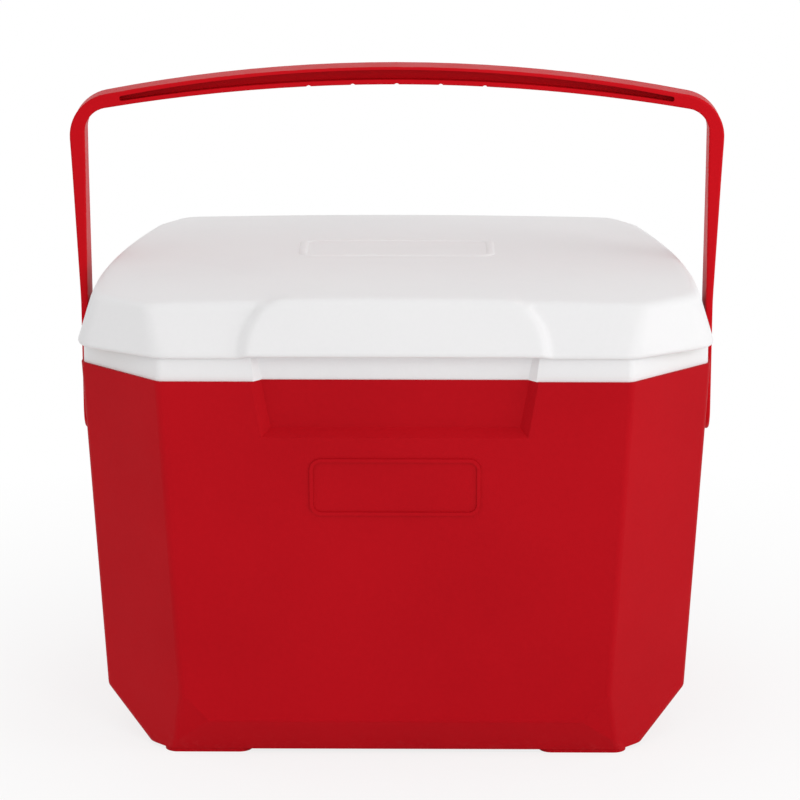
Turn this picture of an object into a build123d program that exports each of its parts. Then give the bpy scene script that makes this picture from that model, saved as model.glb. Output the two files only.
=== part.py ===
from build123d import *
import math
import os

os.makedirs("parts", exist_ok=True)

# Sizes are in millimetres. X runs to the right along the front, Y towards the back and Z up from the floor.

# Outside of the body
RIM_WIDTH = 384.0
RIM_DEPTH = 270.0
CORNER_CUT = 50.0
SHELL_TOP = 242.0
BODY_DRAFT = 3.0
SHELL_WALL = 2.4
CREASE_RADIUS = 6.0
SIDE_BEVEL_START = 30.0
SIDE_BEVEL_LEAN = 45.0
FRONT_BEVEL_START = 24.0
FRONT_BEVEL_LEAN = 25.5
LOWER_CORNER_START = 48.0
LOWER_CORNER_SHIFT = 4.0
LOWER_CORNER_NORMAL = (0.18, 0.96, -0.21)
FOOT_HEIGHT = 2.4
FOOT_LENGTH = 54.0
FOOT_WIDTH = 26.0
FOOT_INSET_X = 76.0
FOOT_INSET_Y = 35.5
FOOT_RADIUS = 8.0

# Finger recess under the front of the lid
RECESS_TOP_WIDTH = 178.0
RECESS_FOOT_WIDTH = 160.0
RECESS_HEIGHT = 35.0
RECESS_DEPTH = 6.0
RECESS_FLANK = 40.0
COLLAR_RECESS_DEPTH = 6.8

# Bare panels with a raised bead on the front and on the lid
PANEL_WIDTH = 103.0
PANEL_HEIGHT = 36.0
PANEL_DROP = 66.0
LID_PANEL_WIDTH = 118.0
LID_PANEL_DEPTH = 46.0
LID_PANEL_Y = 10.0
PANEL_RADIUS = 7.0
BEAD_WIDTH = 2.2
BEAD_HEIGHT = 0.9

# Liner and its white collar
COLLAR_HEIGHT = 15.0
COLLAR_STEP = 1.5
COLLAR_WALL = 2.4
LINER_WALL = 2.0
INSULATION = 14.6
TUB_FLOOR = 22.0
TONGUE_DEPTH = 6.0
TONGUE_WALL = 1.6
FIT_GAP = 0.3

# Lid
LID_GAP = 1.0
LID_OVERHANG_X = 1.0
LID_OVERHANG_Y = 2.0
LID_FRONT_RISE = 31.0
LID_FRONT_INSET = 15.6
LID_CROWN_RISE = 35.6
LID_CROWN_RADIUS = 5500.0
LID_SIDE_LEAN = 10.0
LID_SHOULDER_RADIUS = 20.0
LID_CORNER_INSET = 6.0
LID_FOLD_RUN = 62.0
LID_BEVEL_TURN = 11.0
LID_BEVEL_Y = 12.0
LID_BEVELS = ((55.0, 22.0), (72.0, 26.8))
LID_EDGE_RADIUS = 2.5
LID_WALL = 3.2
LID_PAN_WALL = 2.2
LID_PAN_INSET = 4.9
PLUG_DEPTH = 8.0
PLUG_GAP = 1.5
PAD_FOOT_WIDTH = 194.0
PAD_TOP_WIDTH = 186.0
PAD_RISE = 4.5
PAD_CREASE_RISE = 33.7
PAD_CREASE_STEP = 1.5
PAD_RUN = 52.0
PAD_RADIUS = 28.0
PAD_EDGE_RADIUS = 2.0

# Bail handle
PIVOT_DROP = 46.0
BAIL_REACH = 216.0
BAIL_DEPTH = 22.0
ARM_FOOT_DEPTH = 34.0
ARM_FLARE_TOP = 150.0
ARM_BEND_RISE = 69.0
ARM_TOP_RISE = 176.0
ARM_TOP_SPREAD = 5.6
BAR_HEIGHT = 11.0
BAR_END_HEIGHT = 8.2
BAR_ARCH_RADIUS = 940.0
BAIL_OUTER_RADIUS = 27.0
BAIL_INNER_RADIUS = 15.0
ARM_BEND_RADIUS = 240.0
BAIL_OUTER_EDGE = 1.4
BAIL_INNER_EDGE = 1.2
EYE_WEB = 2.0
GROOVE_EDGE = 1.7
GROOVE_HEIGHT = 6.2
GROOVE_END_HEIGHT = 3.2
GROOVE_DEPTH = 7.5
GROOVE_END_INSET = 22.0
GROOVE_CORNER = 1.4
NOTCH_PITCH = 27.3
NOTCH_RADIUS = 1.6
NOTCH_DEPTH = 0.9

# Handle pivots
STUD_RADIUS = 8.0
STUD_HEAD_RADIUS = 12.0
STUD_HEAD = 1.9
STUD_SPIGOT_RADIUS = 5.0
STUD_SPIGOT = 6.0
WASHER_THICKNESS = 0.7
WASHER_RADIUS = 14.0
RUNNING_GAP = 0.08
SIDE_GAP = 0.3
HEAD_GAP = 0.4
BOSS_RADIUS = 20.0
BOSS_RISE = 1.2
BOSS_CORE_RADIUS = 9.0
BOSS_CORE_DEPTH = 19.6
PIVOT_SCREW_RADIUS = 2.0
PIVOT_SCREW_HEAD_RADIUS = 4.2
PIVOT_SCREW_HEAD = 1.6
PIVOT_SCREW_SINK = 1.8
PIVOT_SCREW_LENGTH = 20.0
PILOT_EXTRA = 0.5
SCREW_GAP = 0.05
SCREW_CLEARANCE = 0.2

# Lid hinges
HINGE_X = 95.0
HINGE_WIDTH = 46.0
HINGE_AXIS_OUT = 4.5
HINGE_AXIS_DROP = 0.5
KNUCKLE_RADIUS = 4.0
KNUCKLE_GAP = 0.4
MIDDLE_KNUCKLE = 18.0
PIN_RADIUS = 1.8
PIN_HEAD_RADIUS = 2.6
PIN_HEAD = 1.2
PIN_TAIL = 0.8
LEAF_THICKNESS = 2.6
LEAF_DROP = 46.0
LEAF_RISE = 29.0
LEAF_START = 5.0
LEAF_CORNER = 5.0
GUSSET_DROP = 6.0
HINGE_SCREW_RADIUS = 1.7
HINGE_SCREW_HEAD_RADIUS = 3.4
HINGE_SCREW_HEAD = 1.8
HINGE_SCREW_LENGTH = 12.0
HINGE_SCREW_SPACING = 26.0
BASE_SCREW_DROP = 20.0
LEAF_SCREW_RISE = 18.0
SCREW_BOSS_RADIUS = 4.5
SCREW_BOSS_LENGTH = 12.5

# Screw heads
SCREW_EDGE = 0.6
SCREW_SLOT = 0.9
SCREW_SLOT_SHARE = 1.3
SCREW_SLOT_DEPTH = 1.1

# Values that follow from the sizes above
DRAFT_RUN = math.tan(math.radians(BODY_DRAFT))
CUT_SHRINK = 2.0 - math.sqrt(2.0)
FRONT_NORMAL = Vector(0, -math.cos(math.radians(BODY_DRAFT)), -math.sin(math.radians(BODY_DRAFT)))
BACK_NORMAL = Vector(0, -FRONT_NORMAL.Y, FRONT_NORMAL.Z)
FRONT_FACE = Plane(Vector(0, -RIM_DEPTH / 2, SHELL_TOP), x_dir=(1, 0, 0), z_dir=FRONT_NORMAL)
LINER_OUTER = SHELL_WALL + INSULATION
LINER_INNER = LINER_OUTER + LINER_WALL
COLLAR_TOP = SHELL_TOP + COLLAR_HEIGHT
LID_BOTTOM = COLLAR_TOP + LID_GAP
LID_WIDTH = RIM_WIDTH + 2 * LID_OVERHANG_X
LID_DEPTH = RIM_DEPTH + 2 * LID_OVERHANG_Y
LID_CREASE_Z = LID_BOTTOM + LID_FRONT_RISE
LID_CROWN_Z = LID_BOTTOM + LID_CROWN_RISE
LID_FOLD_Y = LID_DEPTH / 2 - LID_FOLD_RUN
LID_SLOPE = math.atan2(LID_FRONT_INSET, LID_FRONT_RISE)
LID_BACK_NORMAL = Vector(0, math.cos(LID_SLOPE), math.sin(LID_SLOPE))
LID_BACK_RISE = Vector(0, -math.sin(LID_SLOPE), math.cos(LID_SLOPE))
LID_BACK_EDGE = Vector(0, LID_DEPTH / 2, LID_BOTTOM)
PAD_CREASE_Z = LID_BOTTOM + PAD_CREASE_RISE
PAD_BACK_Y = LID_DEPTH / 2 - PAD_RUN
PIVOT_Z = SHELL_TOP - PIVOT_DROP
BOSS_FACE_X = RIM_WIDTH / 2 + BOSS_RISE
ARM_INNER_X = BOSS_FACE_X + WASHER_THICKNESS + SIDE_GAP
STUD_HEAD_X = ARM_INNER_X + EYE_WEB + SIDE_GAP
ARM_OUTER_X = STUD_HEAD_X + STUD_HEAD
ARM_BEND_Z = PIVOT_Z + ARM_BEND_RISE
ARM_FLARE_Z = PIVOT_Z + ARM_FLARE_TOP
ARM_TOP_Z = PIVOT_Z + ARM_TOP_RISE
ARM_TOP_OUTER_X = ARM_OUTER_X + ARM_TOP_SPREAD
BAR_TOP_Z = PIVOT_Z + BAIL_REACH
PIVOT_SCREW_SEAT = STUD_HEAD_X + STUD_HEAD - PIVOT_SCREW_SINK - BOSS_FACE_X
PIVOT_PILOT = PIVOT_SCREW_LENGTH - PIVOT_SCREW_SEAT + PILOT_EXTRA
HINGE_AXIS_Y = LID_DEPTH / 2 + HINGE_AXIS_OUT
HINGE_AXIS_Z = LID_BOTTOM - HINGE_AXIS_DROP
BASE_SCREW_Z = SHELL_TOP - BASE_SCREW_DROP
ON_FACE = (Align.CENTER, Align.CENTER, Align.MIN)
BELOW_FACE = (Align.CENTER, Align.CENTER, Align.MAX)


def half_width(z):
    """Half the width of the body at height z."""
    return RIM_WIDTH / 2 - (SHELL_TOP - z) * DRAFT_RUN


def half_depth(z):
    """Half the depth of the body at height z."""
    return RIM_DEPTH / 2 - (SHELL_TOP - z) * DRAFT_RUN


def cut_rectangle(width, depth, cut):
    """Draw a rectangle with its four corners cut off, in the sketch being built."""
    x, y = width / 2, depth / 2
    Polygon(
        (x - cut, -y), (x, -y + cut), (x, y - cut), (x - cut, y),
        (-x + cut, y), (-x, y - cut), (-x, -y + cut), (-x + cut, -y),
        align=None,
    )


def inset_rectangle(width, depth, inset):
    """Draw the cut rectangle of that width and depth, drawn in by inset on every side."""
    cut_rectangle(width - 2 * inset, depth - 2 * inset, CORNER_CUT - CUT_SHRINK * inset)


def body_prism(inset, bottom, top):
    """Tapered block that lies inset inside the sides of the body."""
    with BuildPart() as prism:
        for z in (bottom, top):
            with BuildSketch(Plane.XY.offset(z)):
                inset_rectangle(2 * half_width(z), 2 * half_depth(z), inset)
        loft(ruled=True)
    return prism.part


def body_block(inset, bottom, top):
    """Tapered block with the bevels along the lower edges of the body, drawn in by inset."""
    with BuildPart() as block:
        add(body_prism(inset, bottom, top))
        side_lean = math.radians(SIDE_BEVEL_LEAN)
        front_lean = math.radians(FRONT_BEVEL_LEAN)
        for side in (-1, 1):
            normal = Vector(side * math.cos(side_lean), 0, -math.sin(side_lean))
            start = Vector(side * half_width(SIDE_BEVEL_START), 0, SIDE_BEVEL_START)
            split(bisect_by=Plane(start - normal * inset, z_dir=normal), keep=Keep.BOTTOM)
            normal = Vector(0, side * math.cos(front_lean), -math.sin(front_lean))
            start = Vector(0, side * half_depth(FRONT_BEVEL_START), FRONT_BEVEL_START)
            split(bisect_by=Plane(start - normal * inset, z_dir=normal), keep=Keep.BOTTOM)
        crease_x = half_width(LOWER_CORNER_START) - CORNER_CUT + LOWER_CORNER_SHIFT
        crease_y = half_depth(LOWER_CORNER_START)
        turn_x, turn_y, turn_z = LOWER_CORNER_NORMAL
        for side in (-1, 1):
            for end in (-1, 1):
                normal = Vector(side * turn_x, end * turn_y, turn_z).normalized()
                start = Vector(side * crease_x, end * crease_y, LOWER_CORNER_START)
                split(bisect_by=Plane(start - normal * inset, z_dir=normal), keep=Keep.BOTTOM)
    return block.part


def recess_plug(growth, depth):
    """Tapered plug with the shape of the finger recess, grown on its sides and sunk to depth."""
    with BuildPart() as plug:
        spread = math.tan(math.radians(RECESS_FLANK))
        for level in (4.0, -depth):
            shrink = -level * spread - growth
            top = RECESS_TOP_WIDTH / 2 - shrink
            foot = RECESS_FOOT_WIDTH / 2 - shrink
            low = shrink - RECESS_HEIGHT
            high = COLLAR_HEIGHT + 5
            with BuildSketch(FRONT_FACE.offset(level)):
                Polygon((-foot, low), (foot, low), (top, high), (-top, high), align=None)
        loft(ruled=True)
    return plug.part


def panel_bead(width, height):
    """Draw the raised bead round a bare panel, in the sketch being built."""
    RectangleRounded(width, height, PANEL_RADIUS)
    RectangleRounded(
        width - 2 * BEAD_WIDTH, height - 2 * BEAD_WIDTH, PANEL_RADIUS - BEAD_WIDTH, mode=Mode.SUBTRACT
    )


def lid_half_depth(z, inset):
    """Half the depth between the sloping front and back of the lid at height z."""
    return LID_DEPTH / 2 - (z - LID_BOTTOM) * math.tan(LID_SLOPE) - inset / math.cos(LID_SLOPE)


def lid_block(inset, bottom):
    """Domed block of the lid, drawn in by inset and cut off flat at bottom."""
    low = bottom - 20
    half = LID_WIDTH / 2 - inset
    edge = half - LID_SIDE_LEAN
    crown = LID_CROWN_Z - inset
    edge_z = crown - edge**2 / (2 * LID_CROWN_RADIUS)
    fold_z = LID_CREASE_Z - inset
    with BuildPart() as block:
        with BuildSketch(Plane.XZ) as across:
            with BuildLine():
                ThreePointArc((-edge, edge_z), (0, crown), (edge, edge_z))
                Polyline((edge, edge_z), (half, LID_BOTTOM), (half, low), (-half, low), (-half, LID_BOTTOM))
                Line((-half, LID_BOTTOM), (-edge, edge_z))
            make_face()
            fillet(across.vertices().sort_by(Axis.Y)[-2:], LID_SHOULDER_RADIUS - inset)
        extrude(amount=LID_DEPTH, both=True)
        with BuildSketch(Plane.YZ):
            Polygon(
                (-lid_half_depth(low, inset), low),
                (-lid_half_depth(fold_z, inset), fold_z),
                (-LID_FOLD_Y, crown + 0.1),
                (lid_half_depth(crown + 5, inset), crown + 5),
                (lid_half_depth(low, inset), low),
                align=None,
            )
        extrude(amount=LID_WIDTH, both=True, mode=Mode.INTERSECT)
        turn = math.radians(LID_BEVEL_TURN)
        for lean, rise in LID_BEVELS:
            out, up = math.cos(math.radians(lean)), math.sin(math.radians(lean))
            bevel_x = LID_WIDTH / 2 - LID_SIDE_LEAN * rise / LID_CROWN_RISE
            for side in (-1, 1):
                normal = Vector(side * out * math.cos(turn), out * math.sin(turn), up)
                start = Vector(side * bevel_x, LID_BEVEL_Y, LID_BOTTOM + rise)
                split(bisect_by=Plane(start - normal * inset, z_dir=normal), keep=Keep.BOTTOM)
        lean = math.atan2(LID_CORNER_INSET, LID_FRONT_RISE)
        flat = math.cos(lean) / math.sqrt(2)
        for side in (-1, 1):
            for end in (-1, 1):
                normal = Vector(side * flat, end * flat, math.sin(lean))
                start = Vector(
                    side * (LID_WIDTH - CORNER_CUT) / 2, end * (LID_DEPTH - CORNER_CUT) / 2, LID_BOTTOM
                )
                split(bisect_by=Plane(start - normal * inset, z_dir=normal), keep=Keep.BOTTOM)
        split(bisect_by=Plane.XY.offset(bottom), keep=Keep.TOP)
    return block.part


def screw(place, head_radius, head_height, shank_radius, length):
    """Pan head screw with a cross recess, its head standing on the given plane."""
    with BuildPart(place) as body:
        Cylinder(head_radius, head_height, align=ON_FACE)
        fillet(body.edges().filter_by(GeomType.CIRCLE).sort_by(lambda e: e.center().dot(place.z_dir))[-1], SCREW_EDGE)
        Cylinder(shank_radius, length, align=BELOW_FACE)
        with Locations((0, 0, head_height)):
            Box(SCREW_SLOT_SHARE * head_radius, SCREW_SLOT, 2 * SCREW_SLOT_DEPTH, mode=Mode.SUBTRACT)
            Box(SCREW_SLOT, SCREW_SLOT_SHARE * head_radius, 2 * SCREW_SLOT_DEPTH, mode=Mode.SUBTRACT)
    return body.part


# Planes that stand on the outer faces, where the screws and the pivots go
PIVOT_PLANES = []
for side in (-1, 1):
    PIVOT_PLANES.append(Plane((side * BOSS_FACE_X, 0, PIVOT_Z), x_dir=(0, side, 0), z_dir=(side, 0, 0)))
BASE_SCREW_PLANES = []
LEAF_SCREW_PLANES = []
for centre in (-HINGE_X, HINGE_X):
    for shift in (-HINGE_SCREW_SPACING / 2, HINGE_SCREW_SPACING / 2):
        spot = Vector(centre + shift, half_depth(BASE_SCREW_Z), BASE_SCREW_Z)
        BASE_SCREW_PLANES.append(Plane(spot, x_dir=(1, 0, 0), z_dir=BACK_NORMAL))
        spot = LID_BACK_EDGE + LID_BACK_RISE * LEAF_SCREW_RISE + Vector(centre + shift, 0, 0)
        LEAF_SCREW_PLANES.append(Plane(spot, x_dir=(1, 0, 0), z_dir=LID_BACK_NORMAL))


# Hollow inside of the shell, leaving the recess, the pivot bosses and the screw bosses solid
with BuildPart() as shell_hollow:
    add(body_block(SHELL_WALL, FOOT_HEIGHT + SHELL_WALL, SHELL_TOP + 1))
    add(recess_plug(SHELL_WALL, RECESS_DEPTH + SHELL_WALL), mode=Mode.SUBTRACT)
    for place in PIVOT_PLANES:
        with Locations(place):
            Cylinder(BOSS_CORE_RADIUS, BOSS_CORE_DEPTH, align=BELOW_FACE, mode=Mode.SUBTRACT)
    for place in BASE_SCREW_PLANES:
        with Locations(place):
            Cylinder(SCREW_BOSS_RADIUS, SCREW_BOSS_LENGTH, align=BELOW_FACE, mode=Mode.SUBTRACT)

# Outer shell: the red moulded skin with its feet
with BuildPart() as outer_shell:
    add(body_block(0, FOOT_HEIGHT, SHELL_TOP))
    creases = outer_shell.edges().filter_by(lambda e: FOOT_HEIGHT + 1 < e.center().Z < SHELL_TOP - 1)
    fillet(creases, CREASE_RADIUS)
    with BuildSketch(Plane.XY):
        with GridLocations(RIM_WIDTH - 2 * FOOT_INSET_X, RIM_DEPTH - 2 * FOOT_INSET_Y, 2, 2):
            RectangleRounded(FOOT_LENGTH, FOOT_WIDTH, FOOT_RADIUS)
    extrude(amount=FOOT_HEIGHT + 1)
    for place in PIVOT_PLANES:
        with Locations(place):
            Cylinder(BOSS_RADIUS, BOSS_FACE_X - half_width(PIVOT_Z - BOSS_RADIUS) + 1, align=BELOW_FACE)
    with BuildSketch(FRONT_FACE):
        with Locations((0, -PANEL_DROP)):
            panel_bead(PANEL_WIDTH, PANEL_HEIGHT)
    extrude(amount=BEAD_HEIGHT)
    add(recess_plug(0, RECESS_DEPTH), mode=Mode.SUBTRACT)
    add(shell_hollow.part, mode=Mode.SUBTRACT)
    for place in PIVOT_PLANES:
        with Locations(place):
            Cylinder(STUD_SPIGOT_RADIUS + SCREW_GAP, STUD_SPIGOT + SIDE_GAP, align=BELOW_FACE, mode=Mode.SUBTRACT)
            Cylinder(PIVOT_SCREW_RADIUS + SCREW_GAP, PIVOT_PILOT, align=BELOW_FACE, mode=Mode.SUBTRACT)
    for place in BASE_SCREW_PLANES:
        with Locations(place):
            Cylinder(HINGE_SCREW_RADIUS + SCREW_GAP, HINGE_SCREW_LENGTH, align=BELOW_FACE, mode=Mode.SUBTRACT)

# Inner liner: the white tub, whose rim turns out over the foam and shows as the collar
with BuildPart() as collar_channel:
    with BuildSketch(Plane.XY.offset(SHELL_TOP - TONGUE_DEPTH - 1)):
        inset_rectangle(RIM_WIDTH, RIM_DEPTH, COLLAR_STEP + COLLAR_WALL)
    extrude(amount=COLLAR_HEIGHT - COLLAR_WALL + TONGUE_DEPTH + 1)
    add(recess_plug(COLLAR_WALL, COLLAR_RECESS_DEPTH + COLLAR_WALL), mode=Mode.SUBTRACT)

with BuildPart() as collar_tongue:
    tongue_outer = SHELL_WALL + FIT_GAP
    tongue_low = SHELL_TOP - TONGUE_DEPTH
    add(body_prism(tongue_outer, tongue_low, SHELL_TOP + 3))
    add(body_prism(tongue_outer + TONGUE_WALL, tongue_low, SHELL_TOP + 3), mode=Mode.SUBTRACT)
    add(recess_plug(tongue_outer, RECESS_DEPTH + tongue_outer), mode=Mode.SUBTRACT)

with BuildPart() as inner_liner:
    with BuildSketch(Plane.XY.offset(SHELL_TOP)):
        inset_rectangle(RIM_WIDTH, RIM_DEPTH, COLLAR_STEP)
    extrude(amount=COLLAR_HEIGHT)
    fillet(inner_liner.edges().filter_by(Axis.Z), CREASE_RADIUS)
    add(recess_plug(0, COLLAR_RECESS_DEPTH), mode=Mode.SUBTRACT)
    add(collar_channel.part, mode=Mode.SUBTRACT)
    add(collar_tongue.part)
    add(body_block(LINER_OUTER, TUB_FLOOR - LINER_WALL, COLLAR_TOP))
    add(body_block(LINER_INNER, TUB_FLOOR, COLLAR_TOP + 1), mode=Mode.SUBTRACT)

# Body foam: fills the space between the shell and the liner
with BuildPart() as body_foam:
    foam_shoulder = SHELL_TOP - TONGUE_DEPTH - FIT_GAP
    foam_sink = COLLAR_WALL + FIT_GAP
    add(body_block(SHELL_WALL + FIT_GAP, FOOT_HEIGHT + SHELL_WALL + FIT_GAP, foam_shoulder))
    with BuildSketch(Plane.XY.offset(foam_shoulder)):
        inset_rectangle(RIM_WIDTH, RIM_DEPTH, SHELL_WALL + TONGUE_WALL + 3 * FIT_GAP)
    extrude(amount=COLLAR_TOP - foam_sink - foam_shoulder)
    add(recess_plug(foam_sink, COLLAR_RECESS_DEPTH + foam_sink), mode=Mode.SUBTRACT)
    add(body_block(LINER_OUTER - FIT_GAP, TUB_FLOOR - LINER_WALL - FIT_GAP, COLLAR_TOP), mode=Mode.SUBTRACT)
    for place in PIVOT_PLANES:
        with Locations(place):
            Cylinder(BOSS_CORE_RADIUS + FIT_GAP, BOSS_CORE_DEPTH + FIT_GAP, align=BELOW_FACE, mode=Mode.SUBTRACT)
    for place in BASE_SCREW_PLANES:
        with Locations(place):
            Cylinder(SCREW_BOSS_RADIUS + FIT_GAP, SCREW_BOSS_LENGTH + FIT_GAP, align=BELOW_FACE, mode=Mode.SUBTRACT)

# Lid shell: the white outer skin with its front pad
with BuildPart() as front_pad:
    with BuildSketch(Plane.XZ.offset(PAD_BACK_Y)) as pad_front:
        foot, top = PAD_FOOT_WIDTH / 2, PAD_TOP_WIDTH / 2
        Polygon((-foot, LID_BOTTOM), (foot, LID_BOTTOM), (top, LID_CROWN_Z), (-top, LID_CROWN_Z), align=None)
        fillet(pad_front.vertices().sort_by(Axis.Y)[-2:], PAD_RADIUS)
    extrude(amount=LID_DEPTH / 2)
    with BuildSketch(Plane.YZ):
        Polygon(
            (-LID_DEPTH / 2 - PAD_RISE, LID_BOTTOM),
            (-lid_half_depth(PAD_CREASE_Z, 0) - PAD_CREASE_STEP, PAD_CREASE_Z),
            (-PAD_BACK_Y, LID_CROWN_Z - 0.4),
            (-PAD_BACK_Y, LID_BOTTOM),
            align=None,
        )
    extrude(amount=LID_WIDTH, both=True, mode=Mode.INTERSECT)
    slope_edges = front_pad.faces().sort_by(Axis.Y)[0].edges()
    fillet(slope_edges, PAD_EDGE_RADIUS)

with BuildPart() as lid_hollow:
    add(lid_block(LID_WALL, LID_BOTTOM - 1))
    for place in LEAF_SCREW_PLANES:
        with Locations(place):
            Cylinder(SCREW_BOSS_RADIUS, SCREW_BOSS_LENGTH, align=BELOW_FACE, mode=Mode.SUBTRACT)

with BuildPart() as lid_shell:
    add(lid_block(0, LID_BOTTOM))
    creases = lid_shell.edges().filter_by(
        lambda e: LID_BOTTOM + 5 < (e @ 0.5).Z < LID_CREASE_Z - 4 and abs((e % 0.5).Z) > 0.6
    )
    front_crease = lid_shell.edges().filter_by(
        lambda e: abs((e @ 0.5).X) < 1 and (e @ 0.5).Y < -PAD_BACK_Y and (e @ 0.5).Z > LID_CREASE_Z - 1
    )
    lip = lid_shell.faces().sort_by(Axis.Z)[0].edges()
    fillet(creases + front_crease + lip, LID_EDGE_RADIUS)
    add(front_pad.part)
    with BuildSketch(Plane.XY.offset(LID_CROWN_Z + BEAD_HEIGHT)):
        with Locations((0, LID_PANEL_Y)):
            panel_bead(LID_PANEL_WIDTH, LID_PANEL_DEPTH)
    extrude(amount=-2.5 * BEAD_HEIGHT)
    add(lid_hollow.part, mode=Mode.SUBTRACT)
    for place in LEAF_SCREW_PLANES:
        with Locations(place):
            Cylinder(HINGE_SCREW_RADIUS + SCREW_GAP, HINGE_SCREW_LENGTH, align=BELOW_FACE, mode=Mode.SUBTRACT)

# Lid liner: white pan that rests on the collar and plugs the tub
plug_inset = LINER_INNER + PLUG_GAP
pan_floor = COLLAR_TOP - PLUG_DEPTH + LID_PAN_WALL
pan_top = COLLAR_TOP + LID_PAN_WALL
with BuildPart() as lid_liner:
    with BuildSketch(Plane.XY.offset(COLLAR_TOP)):
        inset_rectangle(LID_WIDTH, LID_DEPTH, LID_PAN_INSET)
    extrude(amount=LID_PAN_WALL)
    add(body_prism(plug_inset, COLLAR_TOP - PLUG_DEPTH, COLLAR_TOP))
    add(body_prism(plug_inset + LID_PAN_WALL, pan_floor, pan_top + 1), mode=Mode.SUBTRACT)

# Lid foam: fills the lid and its plug
with BuildPart() as lid_foam:
    foam_base = pan_top + FIT_GAP
    add(lid_block(LID_WALL + FIT_GAP, foam_base))
    add(body_prism(plug_inset + LID_PAN_WALL + FIT_GAP, pan_floor + FIT_GAP, foam_base))
    for place in LEAF_SCREW_PLANES:
        with Locations(place):
            Cylinder(SCREW_BOSS_RADIUS + FIT_GAP, SCREW_BOSS_LENGTH + FIT_GAP, align=BELOW_FACE, mode=Mode.SUBTRACT)

# Bail handle: arched bar, two arms and an eye at each end, in one moulding
arm_lean = ARM_TOP_SPREAD / (ARM_TOP_Z - ARM_BEND_Z)
corner_z = BAR_TOP_Z - ARM_TOP_OUTER_X**2 / (2 * BAR_ARCH_RADIUS)
corner_x = ARM_TOP_OUTER_X + arm_lean * (corner_z - ARM_TOP_Z)
inner_z = BAR_TOP_Z - ARM_INNER_X**2 / (2 * BAR_ARCH_RADIUS) - BAR_END_HEIGHT
groove_x = ARM_INNER_X - GROOVE_END_INSET
groove_z = BAR_TOP_Z - groove_x**2 / (2 * BAR_ARCH_RADIUS) - 1.6 * GROOVE_EDGE
underside_drop = (BAR_TOP_Z - BAR_HEIGHT - inner_z) / ARM_INNER_X**2
eye_low = PIVOT_Z - ARM_FOOT_DEPTH / 2


def is_rim(edge):
    """Tell whether an edge of the handle runs along its front or its back."""
    direction = edge % 0.5
    return edge.geom_type != GeomType.LINE or abs(direction.X) < 0.9 and abs(direction.Y) < 0.9


def is_inner(edge):
    """Tell whether an edge of the handle faces the hand gap."""
    spot = edge @ 0.5
    return abs(spot.X) < ARM_INNER_X + 0.1 and spot.Z < BAR_TOP_Z - BAR_HEIGHT - underside_drop * spot.X**2 + 0.5


def is_outer(edge):
    """Tell whether an edge of the handle lies on its outside."""
    spot = edge @ 0.5
    return abs(spot.X) > ARM_INNER_X + 2 or spot.Z > BAR_TOP_Z - spot.X**2 / (2 * BAR_ARCH_RADIUS) - 2


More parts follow.
